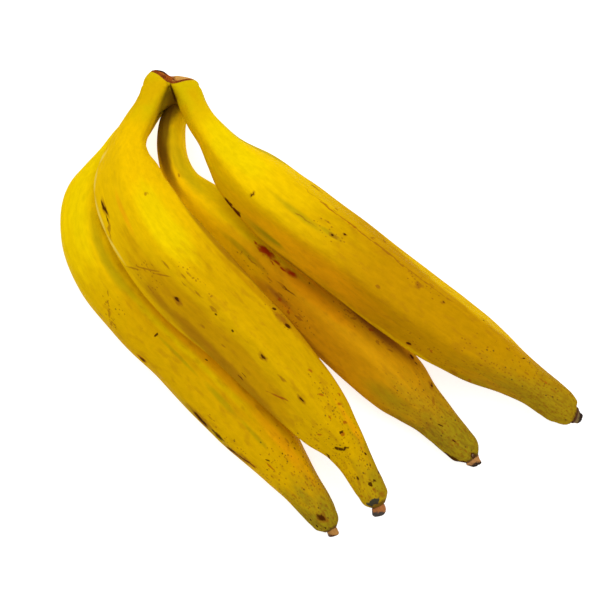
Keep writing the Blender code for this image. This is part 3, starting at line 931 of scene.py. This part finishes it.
# Marks: millimetres along the fruit and across it, their length and width, and their turn in degrees
LOOKS = {
    "outer_left": {
        "length": 294.2, "tip": 42.0, "tip_strength": 0.95, "tip_lean": 0.0,
        "base": ((242, 203, 2), (211, 164, 2)), "riper": (80.0, 140.0),
        # The second lemon patch is painted light, against the front left fruit's shadow beside the crease
        "lemon": ((68, -6.5, 60, 14, 0), (165, 5, 150, 9, 2)),
        # Painted light: warm light bounced into the crease under the front left fruit
        "amber": ((176, 7, 110, 6.2, 2), (238, 7, 60, 6, 0)),
        "olive": ((104, 1.6, 70, 6, 0), (210, -18, 70, 3, 3)),
        # Painted shade beside the front left fruit's edge
        "brown": ((70, 7, 36, 5, 0),),
        "green": ((169, -2.6, 32, 2.2, 1), (201, -1.7, 27, 3.8, 1), (226, -1.1, 24, 2.8, 0)),
        "clusters": (
            (126, -11, 16, 12, 0), (131, -17, 10, 6, 0), (222, -14, 46, 7, 0), (250, -1, 34, 14, 0)),
        "bruise": (
            (202, -17.6, 24, 4.4, 0), (232, -15.4, 26, 4.2, 14), (286.2, -0.4, 9, 5, 24),
            (119, -7.5, 4, 1.2, -30), (127, -14.5, 5, 1.6, -35), (131.5, -17.5, 4, 1.4, -35),
            (124, -19, 3.4, 1, 0), (122, -11, 3, 1.2, -20)),
        "rust": ((155.5, -18.6, 9, 2, 0), (238, -14, 12, 2, 14), (247, -6, 10, 1.4, 10)),
        "scar": (
            (152, -3.2, 1.5, 3, 0), (156, -18.9, 6, 1.2, 0), (202, -17.9, 14, 1.9, 0),
            (215, -16.8, 9, 2.2, 4), (226, -17, 8, 1.1, 8), (234, -15.2, 18, 1.1, 14),
            (285.6, -0.6, 6, 3, 24), (291.7, -2.2, 1.3, 1.2, 0), (288.4, -5.4, 2.4, 1, 0),
            (180, 6.5, 2, 0.7, 10), (245, 3.5, 1.2, 1, 0), (243, -5, 2.4, 0.9, 30),
            (283.5, -6.5, 2, 0.9, 10))},
    "front_left": {
        "length": 283.2, "tip": 36.0, "tip_strength": 0.55, "tip_lean": 1.2,
        "base": ((234, 188, 2), (211, 165, 2)), "riper": (84.0, 140.0),
        "lemon": ((92, 8, 52, 16, 0),),
        # Painted shade on the lower left flank and at the right edge
        "ochre_shade": ((156, -13, 140, 16, 0), (172, 20, 110, 3.4, 0)),
        "amber": ((242, 9.4, 36, 3.4, -8), (78, -6.6, 22, 3, -6)),
        "olive": ((274, 5, 22, 7, 0),),
        # Painted shade in the creases with the outer left and middle fruits
        "brown": ((165, -19.5, 150, 7, 0), (130, 23, 130, 3.2, 0)),
        # Painted highlight along the left ridge, partly a pale waxy bloom
        "pale": (
            (46.5, -12.8, 12, 2, -42), (57, -17.4, 18, 2.2, -17), (72, -20.4, 22, 2.2, -9),
            (89, -21.4, 20, 1.8, 0)),
        "clusters": (
            (110, -15, 24, 12, 0), (222, 9, 46, 14, -10), (229, -2, 10, 24, 10), (262, 3, 34, 14, 0),
            (128, 2, 34, 6, 0), (172, 19.5, 30, 5, 0)),
        "bruise": (
            (79, -18.2, 13, 1.8, -25), (74, 8.8, 2.6, 2.4, 0), (107, -13, 16, 1.1, 40),
            (102, -19, 10, 1.1, 42), (114, -9, 10, 1, 38), (129, -12.4, 7, 4, 0), (112, -3.6, 6, 1.5, 0),
            (125, -3.6, 5, 1.3, 0), (122, -0.8, 4, 1.2, 0), (134, -1.6, 7, 1.4, 0), (145, -2.2, 6, 1.3, 0),
            (181, -1.2, 8, 3, 0), (211, -1.3, 8, 2.6, 0), (196, -1.6, 6, 1.3, 0), (202, -9.5, 14, 1.2, 24),
            (181, -15.8, 5, 0.8, 0), (181, -18, 5, 0.8, 0), (174, 19, 14, 3.4, 4), (70, -15.6, 11, 3.4, -6),
            (147, -12.8, 4, 1.2, 0), (162, -12.4, 4, 1.1, 10), (279, 4.4, 4, 3, 0), (275, 1.6, 4, 2.4, 0)),
        "rust": (
            (202, -9.5, 13, 0.8, 24), (203, 12, 3, 1.6, 0), (216, 8, 4, 1.4, 30), (226, 12, 4, 2, 40),
            (236, 8, 3, 1.8, 0), (222, 15, 3, 1.2, 0), (228, 4, 3, 1.4, 0), (232, -6, 4, 1.2, 50),
            (252, 6.5, 3, 1.4, 0), (240, 3.4, 3, 2.4, 0), (274.9, -6, 2.4, 0.9, 10)),
        "scar": (
            (69.5, -15.6, 7.5, 1.7, 6), (74.5, -16.9, 5, 0.9, -26), (128, -12, 3.4, 1.8, 0),
            (148, -3.1, 1.4, 0.9, 0), (160, -3.3, 2, 1.5, 0), (180.8, -1.1, 4.4, 1.7, 0),
            (211, -1.3, 3.4, 1.1, 0), (167, 20, 2.2, 1.6, 0), (178, 19, 4.2, 2, 6),
            (238.5, 3.4, 1.6, 2.2, 0), (243.8, -4.2, 3.8, 2, 28), (245.6, -2.7, 3.8, 2.3, 52),
            (246.9, -0.6, 3.8, 1.9, 88), (245, -10.6, 5, 1.4, 4), (264.9, -2.9, 2.4, 2, 0),
            (271, 1.3, 4, 2.4, 30), (270.7, 4.4, 1.8, 1.4, 0), (256, 7, 1.8, 0.9, 0),
            (262, 6.2, 1.4, 1.1, 0), (268, 8, 2, 0.9, 0), (181, -15.9, 4, 0.4, 0), (181, -17.9, 4, 0.4, 0)),
        "slate": ((280.6, -1.9, 3.8, 8, 4),)},
    "middle": {
        "length": 271.9, "tip": 74.0, "tip_strength": 0.9, "tip_lean": -0.5,
        "base": ((246, 203, 4), (209, 151, 10)), "riper": (66.0, 136.0),
        # Painted light against the right fruit's contact shadow
        "amber": ((128, 9, 54, 6, 3),),
        # Painted light where the front left and right fruits shade this one
        "lemon": ((98, 5, 76, 10, 4), (66, 7, 60, 10, 4)),
        "gold": ((88, -9, 70, 8, 0),),
        "orange": ((150, 3, 60, 8, 4), (141, -11, 12, 3, 0)),
        "olive": ((103, -5, 34, 3.4, 0), (214, -9.5, 34, 9, 10), (256, 4, 30, 9, 0), (42, 3.6, 56, 9, 3)),
        # Painted shade beside the fruits above, and down the left of the neck
        "brown": (
            (184, 13, 66, 4, 3), (155, -17, 80, 3.6, -3), (240, -11, 50, 4, 12), (40, -4.6, 44, 7, 0)),
        # Painted shadow beside the right and front left fruits
        "plum": ((184, 12, 44, 5, 3), (134, -10, 26, 3.4, 0), (250, -5.6, 26, 5, 0)),
        # Painted shadow down the neck's left side and under the web
        "neck_shade": ((18, -4.2, 58, 9.4, 0), (5, 2, 10, 10, 0)),
        "clusters": ((180, 12, 60, 10, 4), (145, -11, 34, 10, 0), (235, 0, 60, 22, 0), (112, -7, 30, 7, 0)),
        "bruise": (
            (134, -4, 16, 1.3, 5), (110, -6, 10, 1, 0), (209, 15, 6, 2.2, -10), (228, 11.5, 6, 3, -20),
            (257.4, -1.1, 5, 1.9, 8), (172, 9, 4, 1.6, 30), (190, 8, 4, 1.4, -20), (198, 9.5, 5, 1.3, 20),
            (150, -11, 6, 1.6, 0), (48, 0, 3, 1.6, 0), (234, 6, 5, 1.6, -30)),
        "rust": (
            (113, 2.9, 17, 5.2, 4), (130, 4, 12, 3.8, 4), (136, -10.6, 4, 2.4, 0), (144, -12.4, 3, 1.6, 0),
            (175, 6, 2.6, 1.2, 0), (183, 10.6, 3, 1.4, 0)),
        "red": (
            (112, 2.9, 13, 4.6, 2), (121, 3, 7, 2.4, 10), (131, 4, 6, 2.8, 6), (126, 2.6, 5, 1.4, 0),
            (104.5, 2.4, 5, 1.2, 0), (119, 0.8, 4, 1, 0)),
        "scar": (
            (135, -3.9, 8, 0.45, 4), (209, 15.4, 4, 1, -6), (213, 14.4, 3, 0.9, 0),
            (257.4, -1.1, 3.4, 0.9, 8), (228, 12, 3, 1, -30), (265, -8.4, 17, 2.8, 14),
            (270.6, 1.3, 3.2, 4.2, 10), (254, -10.4, 8, 1.3, 8), (271, -5.4, 4, 2.4, 20),
            (141.6, 7.2, 1.6, 0.7, 0), (246, -0.6, 4, 0.8, 20)),
        "ring": ((270.7, 1.5, 1.2, 1.9, 10),)},
    "right": {
        "length": 284.8, "tip": 66.0, "tip_strength": 0.72, "tip_lean": -1.6,
        "base": ((238, 196, 2), (191, 139, 3)), "riper": (60.0, 160.0),
        # The lower left lemon patch and all the gold are painted light: on the lower left flank and along
        # both steep edges
        "lemon": ((48, 4, 54, 16, 0), (44, -14, 50, 10, 0)),
        "gold": ((72, -16, 90, 12, 0), (208, 17.8, 160, 7, -3.6), (172, -21.8, 130, 4, 1.6)),
        "amber": ((118, -15, 90, 13, 0),),
        "orange": ((240, -12, 50, 4, 6),),
        "olive": ((98, 1.2, 40, 4, 0), (118, 3, 16, 3, 4), (92, -18, 26, 4, 0)),
        "green": ((60, 15, 60, 2, 14), (95, -17.5, 18, 2, 0)),
        # Painted shade in the crease with the middle fruit
        "brown": ((140, -22, 130, 1.6, -1),),
        "clusters": ((172, 10, 30, 8, 0), (116, 4, 26, 10, 0), (235, -3, 70, 24, 0), (200, -15, 40, 7, 0)),
        "bruise": (
            (147, 13.4, 124, 0.75, -1), (113, 15.6, 3, 1.4, 0), (125, 7.5, 2.8, 2, 0),
            (138, 15, 2.6, 1.6, 0), (144, 17.8, 3, 1.2, 0), (172, 9.6, 6, 4, 0), (188, 9.5, 3, 2, 0),
            (74, -6.4, 2.2, 4.6, 0), (104, 1.2, 16, 0.8, 2), (121, 3.2, 7, 2.6, 6), (98, 18.8, 10, 0.9, 0),
            (155, -4, 3, 2, 0), (215, -17.6, 7, 1.2, 4)),
        "rust": (
            (118, 13.6, 40, 0.5, -1), (224, -16.6, 3, 1.6, 0), (186, -18.6, 4, 1.2, 0),
            (198, -15, 3, 1.2, 0), (260, 4.5, 3, 1.2, 0)),
        "wound": ((66.5, -18.1, 8.6, 2.2, -4), (73, -18.7, 11, 1.4, -4)),
        "scar": (
            (74, -6.7, 0.7, 3.2, 10), (125, 7.6, 1.4, 1, 0), (188, 9.6, 1.5, 0.9, 0),
            (186, -18.4, 3, 0.9, 0), (238, -17, 2.4, 0.8, 10), (213, 14, 1.6, 0.7, 0), (243, 9, 2, 0.7, 20),
            (120, 3.2, 2, 0.8, 0))}}

# Flower ends from the fruit outwards: ahead, shift across, width, height. Then the colours of the side,
# the cap and the ring, where the cap starts, its lean, and how wide the ring is
FLOWERS = {
    "outer_left": (
        ((-1.7, 0.3, 4.0, 3.6), (-0.4, 0.2, 5.2, 4.4), (0.3, 0.2, 5.8, 4.8), (1.2, 0.1, 6.0, 5.0),
         (2.1, 0.0, 6.2, 5.2), (3.0, 0.1, 6.2, 5.2), (3.8, 0.2, 5.4, 4.6), (4.2, 0.3, 4.0, 3.4),
         (4.1, 0.3, 2.4, 2.0), (3.9, 0.3, 0.8, 0.8)),
        (186, 132, 66), (84, 50, 26), (96, 60, 26), 0.58, -0.1, 0.9),
    "front_left": (
        ((-1.7, 0.0, 4.4, 4.2), (-0.4, -0.6, 6.6, 5.6), (0.4, -1.0, 7.4, 6.2), (1.6, -1.3, 7.8, 6.4),
         (2.8, -1.6, 8.0, 6.6), (3.9, -1.8, 7.6, 6.4), (4.8, -1.9, 6.4, 5.6), (5.3, -1.9, 4.6, 4.2),
         (5.3, -1.9, 2.6, 2.4), (5.1, -1.9, 0.9, 0.8)),
        (176, 110, 56), (66, 60, 54), (110, 62, 28), 0.42, -0.05, 0.8),
    "middle": (
        ((-1.7, -0.2, 4.4, 4.2), (-0.4, -0.5, 7.0, 6.0), (0.4, -0.6, 8.2, 6.2), (1.4, -0.4, 7.6, 5.8),
         (2.4, 0.0, 6.6, 5.2), (3.4, 0.2, 6.0, 5.0), (4.2, 0.2, 5.4, 4.4), (4.6, 0.2, 4.2, 3.4),
         (4.5, 0.2, 2.2, 1.8), (4.3, 0.2, 0.7, 0.6)),
        (190, 134, 76), (46, 32, 24), (84, 54, 28), 0.44, -0.03, 0.8),
    "right": (
        ((-1.7, 0.0, 5.6, 5.0), (-0.3, 0.0, 8.8, 7.4), (0.4, 0.0, 9.4, 7.8), (1.1, 0.0, 8.6, 7.2),
         (1.9, -0.2, 7.0, 6.0), (2.7, -0.4, 6.2, 5.4), (3.6, -0.5, 5.8, 5.2), (4.3, -0.5, 4.8, 4.2),
         (4.5, -0.5, 2.8, 2.6), (4.3, -0.5, 0.8, 0.7)),
        (132, 108, 62), (42, 28, 22), (70, 26, 12), 0.46, 0.03, 1.9)}

skins = {label: fruit_rings(line, sides, edge, seed) for label, line, sides, edge, seed in FRUITS}
for label, line, sides, edge, seed in FRUITS:
    end = fruit(label, skins[label], peel("peel_" + label, LOOKS[label]))
    rows, *tones, cap_from, lean, ring_width = FLOWERS[label]
    colours = [paint(*tone) for tone in tones]
    dried = flower_finish("dried_flower_" + label, colours, cap_from, lean, ring_width)
    flower_end(label, rows, seed + 70, dried, *end)
crown(crown_finish(), skins)

# Floor, light and camera
FLOOR_SIZE = 3.0
FLOOR_GLOW = 0.72
FLOOR_TONE = (0.6, 0.6, 0.6, 1.0)
WHITE = (1.0, 1.0, 1.0, 1.0)
ROOM_LIGHT = 0.56
KEY_PLACE = (-0.22, 0.42, 1.85)
KEY_AIM = (0.0, 0.0, 0.03)
KEY_SIZE = 1.8
KEY_POWER = 24.0
AZIMUTH = math.radians(45.0)
ELEVATION = math.radians(82.0)
DISTANCE = 1.0
AIM_HEIGHT = 25.0
LENS = 110.0
SENSOR = 36.0

floor_shape = bmesh.new()
bmesh.ops.create_grid(floor_shape, x_segments=1, y_segments=1, size=FLOOR_SIZE)
floor_finish = Finish("pale_floor", 0.9, 0.2)
floor_finish.set(floor_finish.surface.inputs["Base Color"], FLOOR_TONE)
floor_finish.set(floor_finish.surface.inputs["Emission Color"], WHITE)
floor_finish.set(floor_finish.surface.inputs["Emission Strength"], FLOOR_GLOW)
floor_mesh = mesh_of(floor_shape, "floor")
floor_mesh.materials.append(floor_finish.material)
floor = bpy.data.objects.new("floor", floor_mesh)
bpy.context.scene.collection.objects.link(floor)

world = bpy.data.worlds.new("studio")
bpy.context.scene.world = world
world.use_nodes = True
background = world.node_tree.nodes["Background"]
background.inputs["Color"].default_value = WHITE
background.inputs["Strength"].default_value = ROOM_LIGHT


def panel(name, place, aim, width, power):
    """A round soft light at a place, turned to a point."""
    data = bpy.data.lights.new(name, "AREA")
    data.shape = "DISK"
    data.size = width
    data.energy = power
    lamp = bpy.data.objects.new(name, data)
    lamp.location = Vector(place)
    lamp.rotation_euler = (Vector(aim) - Vector(place)).to_track_quat("-Z", "Y").to_euler()
    bpy.context.scene.collection.objects.link(lamp)


panel("key", KEY_PLACE, KEY_AIM, KEY_SIZE, KEY_POWER)

aim = Vector(in_hand(np.array([0.0, 0.0, AIM_HEIGHT])))
lens = bpy.data.cameras.new("camera")
lens.lens = LENS
lens.sensor_width = SENSOR
camera = bpy.data.objects.new("camera", lens)
away = Vector((math.sin(AZIMUTH) * math.cos(ELEVATION), -math.cos(AZIMUTH) * math.cos(ELEVATION),
               math.sin(ELEVATION)))
camera.location = aim + away * DISTANCE
camera.rotation_euler = away.to_track_quat("Z", "Y").to_euler()
bpy.context.scene.collection.objects.link(camera)
bpy.context.scene.camera = camera
bpy.context.scene.view_settings.view_transform = "Standard"
